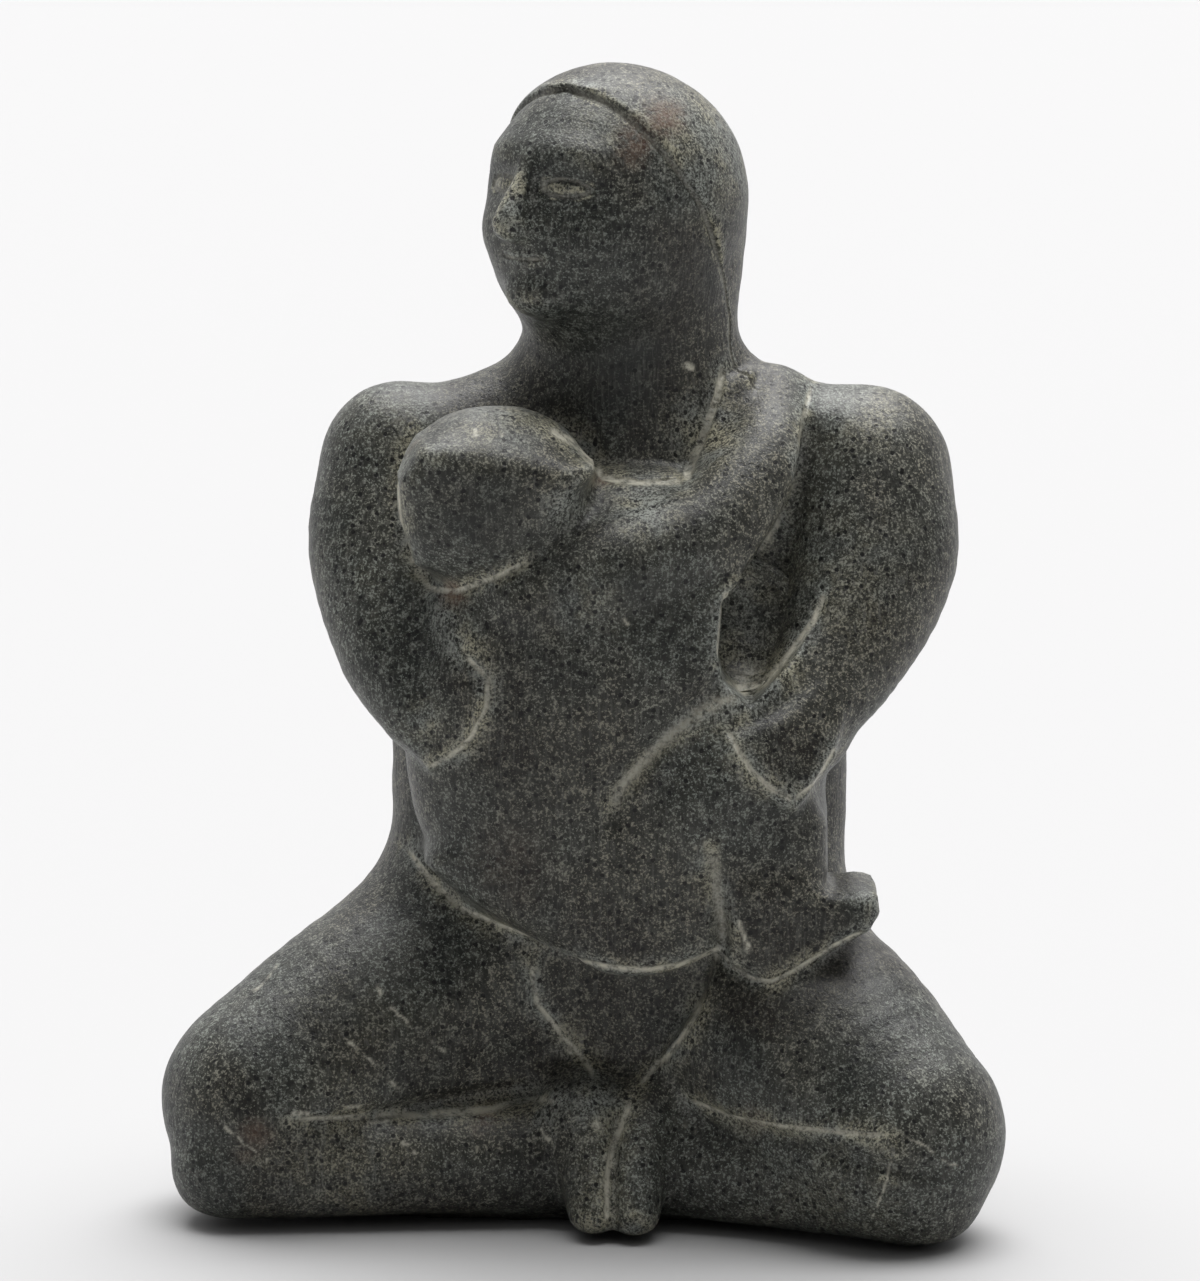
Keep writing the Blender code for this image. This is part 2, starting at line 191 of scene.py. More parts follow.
class Hair:
    """A cap that follows the skull, raised by its thickness, behind a hairline in the head's side view."""

    SOFT = 6

    def __init__(self, skull, raised, hairline, parting):
        self.skull, self.raised = skull, raised
        self.line = np.array(hairline, float)
        self.parting = parting
        self.low, self.high = skull.low - raised, skull.high + raised

    def edge(self, p):
        """The hairline's depth at the height of points p, and how much its slant lengthens a depth."""
        notch = self.parting * np.clip(1 - np.abs(p[:, 0]) / (2 * self.parting), 0, 1)
        edge = np.interp(p[:, 2], self.line[:, 1], self.line[:, 0])
        slant = np.interp(p[:, 2], self.line[:, 1], np.gradient(self.line[:, 0], self.line[:, 1]))
        return edge + notch, np.sqrt(1 + slant**2)

    def distance(self, p):
        edge, lengthened = self.edge(p)
        before = (edge - p[:, 1]) / lengthened
        return -join(self.raised - self.skull.distance(p), -before, self.SOFT)


HEAD_AT = (28, 5, 884)
HEAD_TURN = (-10, 0, -42)
SKULL = Ball((0, 0, 0), (104, 118, 112))
FOOT_DEPTH = 1.3  # of its width

# Outlines seen from the front, as x, z corners.
LAP_HOLLOW = [
    (-58, 285), (-39, 205), (-14, 176), (14, 140), (36, 126),
    (64, 144), (84, 176), (103, 205), (128, 285),
]
COLLAR = [
    (14, 651), (89, 648), (106, 685), (120, 730), (150, 740),
    (130, 660), (104, 625), (60, 600), (-10, 610),
]
HEM = [
    (-140, 322), (-104, 292), (-52, 264), (-14, 246), (18, 231), (47, 227),
    (82, 234), (122, 251), (128, 330), (60, 410), (-60, 410), (-104, 360),
]
CHILD_LEG = [
    (126, 246), (119, 298), (112, 350), (135, 400), (190, 400),
    (211, 360), (212, 316), (200, 290), (190, 250), (163, 232),
]
CHILD_FOOT = [
    (128, 243), (163, 227), (217, 253), (247, 269), (256, 284),
    (254, 301), (236, 305), (210, 303), (188, 314), (136, 312),
]
SHOULDER_BAY = [
    (206, 750), (187, 673), (170, 608), (122, 551), (150, 520),
    (200, 560), (224, 620), (232, 680), (228, 750),
]
CROOK = [
    (121, 553), (116, 506), (128, 481), (143, 466), (178, 500),
    (201, 532), (211, 560), (212, 600), (186, 650),
]
CHILD_FACE = [
    (-139, 690), (-156, 661), (-153, 622), (-143, 582), (-108, 566), (-73, 577), (-36, 605),
    (-10, 635), (6, 659), (13, 672), (-30, 682), (-69, 688), (-118, 694),
]
RIGHT_HAND = [
    (-104, 500), (-79, 484), (-83, 459), (-97, 430),
    (-132, 404), (-166, 440), (-180, 480), (-150, 512),
]
LEFT_HAND = [
    (124, 441), (128, 420), (146, 399), (181, 377),
    (216, 420), (226, 462), (206, 486), (167, 458),
]
# The hairline in the head's side view, as y, z corners.
HAIRLINE = [
    (84, -150), (75, -90), (50, -56), (23, -31), (-7, 2), (-23, 17),
    (-41, 38), (-57, 56), (-68, 72), (-80, 86), (-110, 94), (-140, 120),
]
# Limbs, as rows of x, y, z and radius.
TRUNK = [(32, 45, 180, 190), (32, 40, 300, 200), (33, 38, 420, 200), (36, 38, 520, 186), (40, 38, 600, 170)]
SHOULDERS = [
    (-161, 25, 648, 66), (-80, 30, 660, 66), (40, 35, 676, 70), (140, 30, 664, 70), (246, 20, 636, 75),
]
CHILD_THIGH = [(185, -82, 440, 50), (128, -116, 410, 58), (82, -124, 352, 54), (72, -116, 296, 46)]
CHILD_ARM = [
    (164, 10, 697, 42), (152, -55, 658, 44), (108, -100, 608, 48),
    (30, -122, 580, 50), (-40, -120, 556, 46),
]
RIGHT_ARM = [(-160, 25, 655, 67), (-166, 0, 580, 74), (-148, -45, 505, 66), (-132, -85, 458, 46)]
LEFT_ARM = [(246, 20, 645, 75), (250, -10, 575, 77), (223, -60, 500, 59), (192, -96, 455, 44)]


def in_head(*rows):
    return [(name, Turned(mass, HEAD_AT, HEAD_TURN), width) for name, mass, width in rows]


LEGS = [
    ("base", Ball((0, -10, 10), (240, 106, 118), boxy=3.0), 0),
    ("seat", Ball((10, 58, 140), (188, 114, 172)), 40),
    ("right_thigh", Limb((-78, 22, 200, 116), (-176, -12, 152, 112), (-272, -62, 98, 98)), 36),
    ("left_thigh", Limb((98, 2, 196, 118), (188, -70, 150, 118), (268, -145, 90, 98)), 36),
    ("right_shin", Limb((-300, -95, 52, 60), (-150, -92, 52, 54), (-20, -85, 52, 52)), 8),
    ("left_shin", Limb((284, -165, 48, 62), (160, -118, 50, 56), (60, -88, 52, 52)), 8),
]
LAP = [
    ("lap", Slab(LAP_HOLLOW, -105, lean=(0, -0.12), depth=-200, soft=18), 8),
]
FEET = [
    ("ankles", Limb((-14, -100, 94, 24), (32, -108, 98, 26), (78, -100, 94, 24)), 28),
    ("right_foot", Limb((0, -95, 100, 34), (6, -125, 72, 27), (9, -156, 20, 22), flat=FOOT_DEPTH), 18),
    ("left_foot", Limb((62, -95, 100, 34), (50, -128, 72, 27), (45, -160, 20, 22), flat=FOOT_DEPTH), 12),
]
MOTHER = [
    ("trunk", Limb(*TRUNK, flat=0.63), 60),
    ("shoulders", Limb(*SHOULDERS), 32),
    ("neck", Limb((42, 30, 690, 92), (42, 25, 800, 92)), 30),
]
HAIR = Hair(SKULL, 6, HAIRLINE, 8)
HEAD = in_head(
    ("jaw", Ball((0, -4, -62), (84, 96, 66)), 25),
    ("skull", SKULL, 30),
    ("back_hair", Limb((0, 70, -20, 72), (0, 66, -80, 66), (0, 66, -150, 60), flat=0.8), 24),
    ("brow", Ball((0, -94, 25), (52, 20, 13)), 22),
    ("cheeks", Ball((0, -78, -38), (66, 32, 34)), 20),
    ("nose", Limb((0, -112, 20, 8), (0, -125, -14, 12), (0, -129, -34, 16)), 7),
    ("nostrils", Limb((-15, -112, -38, 9), (0, -118, -38, 11), (15, -112, -38, 9)), 6),
    ("chin", Ball((0, -86, -92), (30, 22, 18)), 16),
    ("hair", HAIR, 3),
)
BUNDLE = [
    ("collar", Slab(COLLAR, -80, lean=(0.02, 0.7), depth=50, soft=8), 6),
    ("child_trunk", Ball((30, -52, 448), (186, 120, 216), boxy=2.4), 8),
    ("child_hem", Slab(HEM, -139, lean=(-0.17, -0.04), depth=80, soft=26, bulge=30), 9),
    ("child_thigh", Limb(*CHILD_THIGH), 9),
    ("child_arm", Limb(*CHILD_ARM), 10),
    ("child_leg", Slab(CHILD_LEG, -162, lean=(0.18, 0.02), depth=110, soft=34), 16),
    ("child_foot", Slab(CHILD_FOOT, -161, lean=(0.1, 0), depth=96, soft=16), 14),
]
BAY = [
    ("shoulder_bay", Slab(SHOULDER_BAY, -38, lean=(0.1, 0.1), depth=-200), 6),
    ("crook", Slab(CROOK, -40, lean=(0.1, -0.1), depth=-200), 6),
]
FRONT = [
    ("child_skull", Ball((-74, -96, 642), (82, 72, 74), boxy=2.2), 14),
    ("child_face", Slab(CHILD_FACE, -162, lean=(-0.04, -0.3), depth=70, soft=34), 14),
    ("right_arm", Limb(*RIGHT_ARM), 10),
    ("left_arm", Limb(*LEFT_ARM), 10),
    ("right_hand", Slab(RIGHT_HAND, -135, lean=(-0.7, 0.09), depth=70, soft=10, bulge=4), 7),
    ("left_hand", Slab(LEFT_HAND, -158, lean=(0.34, 0.28), depth=70, soft=10, bulge=4), 7),
]
STAGES = [
    (LEGS, join),
    (LAP, cut),
    (FEET, join),
    (MOTHER, join),
    (HEAD, join),
    (BUNDLE, join),
    (BAY, cut),
    (FRONT, join),
]
# Lines cut in the front, and below them in the back: their x, z corners, half their width and their depth.
FRONT_LINES = [
    ([(-260, 98), (-143, 104), (-78, 110), (-22, 118)], 12, 6),
    ([(88, 118), (125, 106), (200, 95), (235, 90), (325, 74)], 12, 6),
    ([(128, 500), (89, 462), (54, 424), (30, 394), (22, 350)], 17, 8),
    ([(30, 112), (29, 92), (27, 60), (27, 10)], 7, 4),
    ([(100, 372), (108, 330), (116, 286), (121, 250)], 15, 3),
]
BACK_LINES = [
    ([(40, 700), (36, 560), (33, 420), (32, 260), (32, 150)], 34, 8),
    ([(-180, 236), (-110, 176), (-40, 130), (20, 112)], 22, 5),
    ([(230, 236), (170, 176), (104, 130), (46, 112)], 22, 5),
]
# The front lines are cut where y is below the first value, the back lines where it is above the second.
FRONT_SIDE = -20
BACK_SIDE = 50
LINE_ENDS = 0.15  # the share of a line over which it fades out at each end
FLOOR_EDGE = 26
UNDERSIDE = 1.5
REACH = 12


def solid_field(p):
    """Signed distance from points p, in thousandths of the height, to the solid's surface."""
    found = np.full(len(p), 1e3)
    for masses, how in STAGES:
        for name, mass, width in masses:
            near = ((p > mass.low - width - REACH) & (p < mass.high + width + REACH)).all(1)
            found[near] = how(found[near], mass.distance(p[near]), width)
    for side, lines in ((p[:, 1] < FRONT_SIDE, FRONT_LINES), (p[:, 1] > BACK_SIDE, BACK_LINES)):
        side = np.flatnonzero(side)
        flat = p[side][:, [0, 2]]
        for line, half, deep in lines:
            line = np.array(line, float)
            near = ((flat > line.min(0) - half) & (flat < line.max(0) + half)).all(1)
            off, share = path_distance(flat[near], line)
            fade = smooth_step(0, LINE_ENDS, share) * smooth_step(0, LINE_ENDS, 1 - share)
            found[side[near]] += deep * fade * (1 - smooth_step(0, half, off))
    return cut(found, p[:, 2], FLOOR_EDGE)


def fused(points, faces, voxel):
    """The skin of overlapping shapes, as the corners and quads of a voxel remesh."""
    mesh = bpy.data.meshes.new("rough")
    mesh.from_pydata(points, [], faces)
    block = bpy.data.objects.new("rough", mesh)
    bpy.context.scene.collection.objects.link(block)
    remesh = block.modifiers.new("fuse", "REMESH")
    remesh.mode = "VOXEL"
    remesh.voxel_size = voxel
    skin = bpy.data.meshes.new_from_object(block.evaluated_get(bpy.context.evaluated_depsgraph_get()))
    bpy.data.objects.remove(block)
    points = np.empty(len(skin.vertices) * 3, np.float32)
    skin.vertices.foreach_get("co", points)
    quads = np.empty(len(skin.loops), np.int32)
    skin.loops.foreach_get("vertex_index", quads)
    bpy.data.meshes.remove(skin)
    return points.reshape(-1, 3).astype(float), quads.reshape(-1, 4)


def neighbour_mean(values, edges, degree):
    total = np.zeros_like(values)
    for axis in range(values.shape[1]):
        total[:, axis] += np.bincount(edges[:, 0], values[edges[:, 1], axis], len(values))
        total[:, axis] += np.bincount(edges[:, 1], values[edges[:, 0], axis], len(values))
    return total / degree


# How a skin is drawn to the surface: the reach of each probe, the least slope squared and the longest move.
PULL_STEP = (0.5, 0.05, 12)
SETTLED_STEP = (0.4, 0.25, 6)
# The share of the way that a corner then goes to the middle of its neighbours.
PULL_DRIFT = 0.5
SETTLED_DRIFT = 0.35
PROBES = np.array([(1, -1, -1), (-1, -1, 1), (-1, 1, -1), (1, 1, 1)])


def stepped(points, step, flattest, longest):
    """Moves points one step onto the surface, and gives the surface's direction there."""
    values = [field(points + step * c) for c in PROBES]
    slope = sum(v[:, None] * c for v, c in zip(values, PROBES)) / (4 * step)
    off = sum(values) / 4
    size = np.maximum((slope**2).sum(1), flattest)
    normal = slope / np.sqrt(size)[:, None]
    move = -(off / size)[:, None] * slope
    length = np.linalg.norm(move, axis=1)
    return points + move * (np.minimum(length, longest) / np.maximum(length, 1e-9))[:, None], normal


def pull(points, quads, rounds):
    """Moves the corners of a skin onto the surface, and evens out their spacing along it."""
    ends = np.vstack([quads, np.roll(quads, -1, axis=1)]).reshape(2, -1).T
    edges = ends[ends[:, 0] < ends[:, 1]]
    degree = np.bincount(edges.ravel(), minlength=len(points))[:, None]
    for k in range(rounds):
        points, normal = stepped(points, *PULL_STEP)
        drift = neighbour_mean(points, edges, degree) - points
        if k < rounds - 1:
            drift -= (drift * normal).sum(1)[:, None] * normal
        points = points + PULL_DRIFT * drift
    return points


# The pose's own box in thousandths of the height, which the solid's real size was fitted to.
POSE_LOW = np.array([-370.115, -242.659, 0.0])
POSE_HIGH = np.array([365.665, 180.602, 1002.16])

node_low, node_high = (np.array(c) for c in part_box(NODE))
POSE_SCALE = (node_high - node_low) / (POSE_HIGH - POSE_LOW)
POSE_MIDDLE = POSE_LOW - node_low / POSE_SCALE


def to_row(p):
    """Pose units to metres in the part's frame."""
    return (np.asarray(p, float) - POSE_MIDDLE) * POSE_SCALE


def from_row(p):
    return np.asarray(p, float) / POSE_SCALE + POSE_MIDDLE


# Lines incised along the carving's edges: their x, y, z corners, half their width and their depth.
INCISED = [
    ([
        (-31, -124, 702), (-6, -118, 687), (10, -118, 670),
        (17, -90, 655), (49, -87, 651), (88, -87, 652),
    ], 3.4, 2.8),
    ([(88, -87, 652), (104, -60, 685), (117, -40, 719), (122, -28, 742)], 4.2, 4.4),
    ([(199, -10, 724), (184, -50, 676), (169, -43, 606), (146, -50, 574)], 3.0, 2.0),
    ([(150, -60, 572), (121, -148, 562), (116, -157, 517), (121, -150, 495), (128, -130, 482)], 3.0, 2.0),
    ([
        (128, -118, 482), (139, -100, 470), (156, -108, 480),
        (178, -112, 505), (199, -104, 532), (209, -94, 556),
    ], 3.0, 2.4),
    ([
        (-101, -142, 510), (-80, -154, 491), (-82, -158, 467),
        (-95, -155, 440), (-115, -143, 420), (-133, -130, 409),
    ], 3.0, 2.2),
    ([(123, -163, 450), (132, -172, 434), (144, -175, 415), (162, -174, 399), (180, -168, 389)], 3.0, 2.2),
    ([(180, -168, 389), (200, -156, 402), (217, -142, 430)], 3.0, 1.6),
    ([
        (-143, -60, 693), (-156, -80, 667), (-157, -118, 645),
        (-154, -118, 612), (-145, -95, 575),
    ], 3.2, 2.4),
    ([
        (-145, -95, 575), (-131, -105, 559), (-108, -128, 561),
        (-73, -147, 577), (-50, -152, 590),
    ], 3.2, 2.4),
    ([(-156, -30, 316), (-133, -55, 294), (-104, -85, 272), (-49, -118, 256), (-15, -142, 247)], 3.4, 2.4),
    ([
        (-15, -142, 247), (18, -150, 242), (49, -152, 239),
        (82, -152, 242), (104, -152, 249), (121, -150, 258),
    ], 4.6, 1.8),
    ([
        (121, -138, 252), (128, -142, 238), (146, -154, 229), (163, -164, 229),
        (181, -162, 237), (216, -160, 259), (243, -154, 272),
    ], 3.0, 2.0),
    ([(-45, -92, 228), (-40, -92, 193), (-15, -88, 159), (11, -108, 131)], 3.0, 2.0),
    ([(103, -132, 204), (92, -136, 182), (71, -124, 149), (49, -118, 126)], 2.8, 1.8),
    ([
        (-251, -157, 106), (-201, -134, 101), (-144, -120, 98),
        (-79, -110, 101), (-20, -124, 114),
    ], 3.0, 1.6),
    ([
        (92, -134, 118), (125, -152, 109), (160, -180, 110),
        (197, -214, 112), (231, -230, 113), (262, -238, 113),
    ], 3.0, 1.6),
    ([(42, -128, 116), (34, -140, 95), (25, -150, 78), (21, -164, 55), (21, -180, 20)], 3.4, 2.2),
    ([
        (135, -118, 476), (112, -158, 470), (90, -162, 455),
        (62, -163, 430), (39, -162, 405), (25, -162, 383),
    ], 9.0, 0.9),
    ([(110, -166, 350), (114, -152, 316), (119, -140, 281), (122, -140, 256)], 9.0, 0.6),
]
# Pale veins and scratches, which only colour the stone, in the same terms, with their strength last.
VEINS = [
    ([
        (-205, -130, 169), (-190, -132, 155), (-175, -128, 145),
        (-172, -128, 135), (-158, -122, 122),
    ], 2.0, 0.8),
    ([(-182, -104, 213), (-162, -116, 189), (-136, -115, 168), (-117, -109, 151)], 1.8, 0.8),
    ([(-319, -146, 107), (-295, -156, 88), (-271, -154, 66)], 2.0, 0.8),
    ([(272, -240, 113), (294, -238, 102), (320, -226, 81)], 1.8, 0.8),
    ([(266, -241, 103), (257, -240, 67), (250, -228, 45), (243, -214, 25)], 1.8, 0.8),
    ([(-298, -80, 194), (-279, -76, 206), (-265, -50, 222)], 1.6, 0.5),
    ([(133, -174, 285), (138, -174, 270), (144, -174, 254)], 4.2, 1.0),
    ([(112, -140, 238), (120, -136, 246)], 5.0, 0.9),
    ([(100, -174, 358), (96, -174, 346)], 4.0, 0.9),
    ([(34, -164, 545), (40, -164, 539)], 3.2, 1.0),
    ([(86, -49, 748), (98, -46, 743)], 3.6, 1.0),
    ([(-92, -145, 704), (-86, -145, 692)], 3.0, 0.9),
    ([(-66, -148, 703), (-70, -150, 690)], 2.4, 0.9),
    ([(-252, -154, 110), (-234, -150, 110)], 3.0, 0.9),
    ([(-208, -136, 111), (-192, -134, 112)], 3.0, 0.9),
    ([(-186, -126, 95), (-168, -124, 96)], 2.6, 0.8),
    ([(-157, -138, 82), (-148, -140, 72), (-138, -140, 60)], 3.0, 0.9),
    ([(-90, -110, 100), (-68, -110, 101)], 2.6, 0.8),
    ([(-38, -130, 90), (-28, -134, 80)], 3.0, 0.8),
    ([(8, -146, 100), (20, -146, 90)], 3.6, 0.9),
    ([(18, -160, 74), (30, -160, 64)], 3.6, 0.8),
    ([(-14, -90, 152), (-7, -88, 141)], 2.2, 0.8),
    ([(146, -176, 109), (160, -180, 108)], 2.6, 0.8),
    ([(86, -132, 96), (100, -136, 90)], 2.4, 0.7),
]
# Paler places, as x, y, z, reach and strength: partly where the tooling has left the surface paler, partly
# painted highlight on the head's top, the hair, the shoulders and the sides.
PALE_AND_LIT = [
    (-72, -110, 706, 62, 0.62),
    (-15, -150, 640, 34, 0.9),
    (52, -138, 640, 46, 1.0),
    (108, -70, 690, 52, 1.0),
    (-120, -125, 540, 30, 0.7),
    (-100, -135, 516, 34, 0.9),
    (-134, -128, 450, 30, 0.6),
    (128, -140, 468, 38, 1.0),
    (170, -140, 486, 34, 0.6),
    (104, -160, 330, 26, 0.7),
    (98, -140, 246, 34, 0.8),
    (12, -128, 112, 42, 0.8),
    (-30, -120, 100, 36, 0.5),
    (-18, -90, 165, 24, 0.6),
    (-140, -40, 690, 30, 0.6),
    (25, -90, 960, 60, 0.3),
    (100, -20, 935, 95, 0.6),
    (240, 0, 700, 70, 0.4),
    (-170, 0, 700, 70, 0.15),
    (170, -20, 690, 50, 0.4),
    (0, -170, 560, 60, 0.25),
    (-210, -130, 60, 120, 0.28),
    (210, -200, 55, 120, 0.22),
    (-170, -110, 170, 90, 0.10),
    (15, -175, 45, 60, 0.3),
    (225, -60, 560, 100, 0.3),
    (-215, -60, 560, 90, 0.12),
]
# Painted shade: darker stone in the recesses, under the heads and on shaded fronts, in the same terms.
PAINTED_SHADE = [
    (-75, -165, 622, 80, 0.8),
    (60, -165, 575, 80, 0.7),
    (150, -40, 640, 70, 0.7),
    (175, -40, 560, 50, 0.6),
    (40, -50, 755, 110, 0.9),
    (90, -60, 830, 80, 0.6),
    (-118, -110, 560, 40, 0.9),
    (20, -90, 200, 80, 0.3),
    (210, -150, 250, 70, 0.6),
    (-40, -165, 400, 90, 0.35),
    (-60, 0, 730, 60, 0.5),
    (190, -170, 200, 110, 0.8),
    (-190, -110, 200, 90, 0.4),
]
# Rust-brown tints in the stone, in the same terms.
RUST = [
    (70, -67, 962, 30, 0.8),
    (46, -85, 942, 26, 0.6),
    (-286, -158, 89, 22, 0.7),
    (-112, -127, 556, 20, 0.9),
    (15, -104, 654, 14, 0.8),
    (-150, -120, 690, 16, 0.5),
    (-84, -110, 98, 18, 0.5),
    (150, -176, 112, 22, 0.3),
    (-60, -150, 330, 60, 0.15),
]


def toward(p, spin, centre):
    return (p - centre) @ spin


HEAD_SPIN = np.array(Euler([math.radians(a) for a in HEAD_TURN]).to_matrix())
HEAD_CENTRE = np.array(HEAD_AT)
HEAD_REACH = 175
FAR = 99.0
# In the head's frame: the eye's place sideways and up with its half width and half height, and its slant.
EYE = (36, 0, 18, 7.5)
EYE_SLANT = 0.02
EYE_FRONT = -40
RING_SIZES = (7, 6)  # what one eye size counts as outside and inside its ring
MOUTH = (-63, 21)  # its height and half width
MOUTH_BEND = 0.004
# Half the width and the depth of the cuts round the eyes, of the mouth and along the hairline.
EYE_CUT = (2.0, 2.0)
MOUTH_CUT = (2.4, 1.9)
HAIR_CUT = (2.6, 1.5)
HAIR_INSET = 2
HAIR_END = -150
# The face's soft forms: how wide, how high and how deep, or raised where the depth is below zero.
FACE_FRONT = -50
FACE_REACH = 150
SOCKET = (22, 15, 8.5)
LID = (0.8, 0.9, -5.5)  # the first two as shares of the eye
LIPS = (20, 9, -2.4)
# The unevenness of hand work: how high, how long and from where in the noise.
HAND_WORK = [(1.1, 62, 0.0), (0.5, 23, 0.3), (0.22, 9, 0.6)]
TABLE_SIZE = 24
TABLE = np.random.default_rng(7).random((TABLE_SIZE, TABLE_SIZE, TABLE_SIZE)) * 2 - 1


NOISE_START = 500  # keeps every place in the noise above zero


def ripple(p, size, shift=0.0):
    """Smooth noise from -1 to 1 with lumps of about the given size."""
    q = p / size + shift + NOISE_START
    low = np.floor(q).astype(int)
    t = q - low
    t = t * t * (3 - 2 * t)
    total = 0
    for corner in np.ndindex(2, 2, 2):
        share = np.prod(np.where(corner, t, 1 - t), axis=1)
        x, y, z = ((low + corner) % TABLE_SIZE).T
        total = total + share * TABLE[x, y, z]
    return total


FLAT = np.array([1, 0.09, 1])  # depth counts less, so that a line follows the swell of the surface
PATCH_FLAT = (1, 0.6, 1)
HAZE_REACH = 20
LINE_REACH = 40
FINE_LINE_ENDS = 0.08


def line_distance(p, lines):
    """Distance from points p to the nearest of some lines, and the most that any asks for there."""
    nearest, most = np.full(len(p), FAR), np.zeros(len(p))
    for corners, half, amount in lines:
        corners = np.array(corners, float)
        within = (p > corners.min(0) - LINE_REACH) & (p < corners.max(0) + LINE_REACH)
        near = np.flatnonzero(within.all(1))
        off, share = path_distance(p[near] * FLAT, corners * FLAT)
        nearest[near] = np.minimum(nearest[near], off)
        fade = smooth_step(0, FINE_LINE_ENDS, share) * smooth_step(0, FINE_LINE_ENDS, 1 - share)
        most[near] = np.maximum(most[near], amount * fade * (1 - smooth_step(0, half, off)))
    return nearest, most


def patch(p, places):
    """How much of the patches listed there is at points p."""
    found = np.zeros(len(p))
    for x, y, z, reach, strength in places:
        off = np.linalg.norm((p - (x, y, z)) * PATCH_FLAT, axis=1)
        found = np.maximum(found, strength * (1 - smooth_step(0, reach, off)))
    return found


def face_distance(p):
    """The same for the cuts of the eyes, the mouth and the hairline, in the head's own frame."""
    nearest, depth = np.full(len(p), FAR), np.zeros(len(p))
    near = np.flatnonzero((np.abs(p - HEAD_CENTRE) < HEAD_REACH).all(1))
    q = toward(p[near], HEAD_SPIN, HEAD_CENTRE)
    x, y, z = q.T
    faces = y < EYE_FRONT
    across, up, wide, high = EYE
    ring = np.hypot((np.abs(x) - across) / wide, (z - up - EYE_SLANT * np.abs(x)) / high)
    off = np.where(faces, np.abs(ring - 1) * np.where(ring > 1, *RING_SIZES), FAR)
    depth_here = EYE_CUT[1] * (1 - smooth_step(0, EYE_CUT[0], off))
    bend = np.abs(z - MOUTH[0] - MOUTH_BEND * x * x)
    beyond = np.maximum(np.abs(x) - MOUTH[1], 0)
    mouth = np.where(faces, np.hypot(bend, beyond), FAR)
    depth_here = np.maximum(depth_here, MOUTH_CUT[1] * (1 - smooth_step(0, MOUTH_CUT[0], mouth)))
    edge, lengthened = HAIR.edge(q)
    along = np.abs(edge - y - HAIR_INSET) / lengthened
    along = np.where(z > HAIR_END, along, FAR)
    depth_here = np.maximum(depth_here, HAIR_CUT[1] * (1 - smooth_step(0, HAIR_CUT[0], along)))
    nearest[near] = np.minimum(np.minimum(off, mouth), along)
    depth[near] = depth_here
    return nearest, depth


def swell(x, z, wide, high, deep):
    """A soft hollow, or with deep below zero a soft rise, about x and z of zero."""
    return deep * np.exp(-((x / wide) ** 2) - (z / high) ** 2)


def field(p):
    """The same with the finer carving: sockets, lids, lips, incised lines and uneven hand work."""
    found = solid_field(p)
    q = toward(p, HEAD_SPIN, HEAD_CENTRE)
    x, y, z = q.T
    across, up, wide, high = EYE
    on_face = (y < FACE_FRONT) & (np.abs(q) < FACE_REACH).all(1)
    beside, above = np.abs(x) - across, z - up
    socket = swell(beside, above, *SOCKET)
    lid = swell(beside, above, LID[0] * wide, LID[1] * high, LID[2])
    lips = swell(x, z - MOUTH[0], *LIPS)
    found = found + np.where(on_face, socket + lid + lips, 0)
    found = found + line_distance(p, INCISED)[1] + face_distance(p)[1]
    for tall, long, start in HAND_WORK:
        found = found + tall * ripple(p, long, start)
    return found


def skin_of(mesh, matrix):
    """The corners of a mesh, put in place by its matrix, and its faces."""
    points = np.empty(len(mesh.vertices) * 3, np.float32)
    mesh.vertices.foreach_get("co", points)
    turn = np.array(matrix)
    placed = points.reshape(-1, 3).astype(float) @ turn[:3, :3].T + turn[:3, 3]
    return placed, [list(f.vertices) for f in mesh.polygons]


def refined(points, faces, reach, longest, carved):
    """Splits the long edges near the face's features and, if carved, near the incised lines."""
    mesh = bpy.data.meshes.new("refined")
    mesh.from_pydata(points, [], faces)
    bm = bmesh.new()
    bm.from_mesh(mesh)
    bpy.data.meshes.remove(mesh)
    at = np.array([v.co for v in bm.verts])
    near = face_distance(at)[0]
    if carved:
        near = np.minimum(near, line_distance(at, INCISED + VEINS)[0])
    edges = [
        e for e in bm.edges
        if min(near[e.verts[0].index], near[e.verts[1].index]) < reach and e.calc_length() > longest
    ]
    bmesh.ops.subdivide_edges(bm, edges=edges, cuts=1, use_grid_fill=True)
    bmesh.ops.triangulate(bm, faces=[f for f in bm.faces if len(f.verts) > 4])
    bm.verts.index_update()
    found = np.array([v.co for v in bm.verts]), [[v.index for v in f.verts] for f in bm.faces]
    bm.free()
    return found


def settled(points, faces, rounds):
    """Moves the corners of a skin of triangles and quads onto the surface, and evens them out."""
    ends = np.array([(f[i - 1], f[i]) for f in faces for i in range(len(f))])
    edges = ends[ends[:, 0] < ends[:, 1]]
    degree = np.bincount(edges.ravel(), minlength=len(points))[:, None]
    for k in range(rounds):
        points, normal = stepped(points, *SETTLED_STEP)
        if k < rounds - 1:
            drift = neighbour_mean(points, edges, degree) - points
            drift -= (drift * normal).sum(1)[:, None] * normal
            points = points + SETTLED_DRIFT * drift
    return points, edges, degree


# How near a cut an edge is split, past which length, and whether near the stone's lines too.
REFINEMENTS = [(9, 5, True), (5, 2.6, True), (4, 1.6, False)]
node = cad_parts[NODE]
points, faces = skin_of(node.data, node.matrix_world)
points, quads = fused(from_row(points), faces, COARSE_VOXEL)
points = pull(points, quads, 2)
points, quads = fused(points, quads.tolist(), FINE_VOXEL)
points = pull(points, quads, 3)
faces = quads.tolist()
for reach, longest, carved in REFINEMENTS:
    points, faces = refined(points, faces, reach, longest, carved)
points, edges, degree = settled(points, faces, 4)

